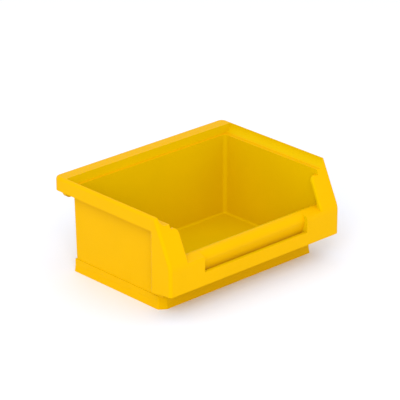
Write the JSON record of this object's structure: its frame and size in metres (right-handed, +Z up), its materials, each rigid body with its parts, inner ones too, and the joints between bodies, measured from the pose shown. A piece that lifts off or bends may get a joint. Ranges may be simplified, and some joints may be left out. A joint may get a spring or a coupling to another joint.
{
  "type": "stackable storage bin",
  "caption": "Small open-front storage bin with a stacking rim and foot, a rear hanging lip and a label holder in the front.",
  "frame": {"origin": "on the resting plane, under the middle of the bin's bounding box", "axes": "+X across the width to the right seen from the front, +Y from the open front to the back, +Z up"},
  "size_m": [0.102, 0.076, 0.045],
  "materials": {
    "bin_plastic": "satin injection-moulded polypropylene, signal yellow"
  },
  "bodies": {
    "root": {"floor_panel": "bin_plastic", "stacking_foot": "bin_plastic", "left_side_wall": "bin_plastic", "right_side_wall": "bin_plastic", "back_wall": "bin_plastic", "front_wall": "bin_plastic", "back_rim": "bin_plastic", "left_rim": "bin_plastic", "right_rim": "bin_plastic", "hanging_lip": "bin_plastic", "left_front_flange": "bin_plastic", "right_front_flange": "bin_plastic", "left_front_corner": "bin_plastic", "right_front_corner": "bin_plastic", "label_panel": "bin_plastic", "left_label_tab": "bin_plastic", "right_label_tab": "bin_plastic"}
  },
  "joints": []
}
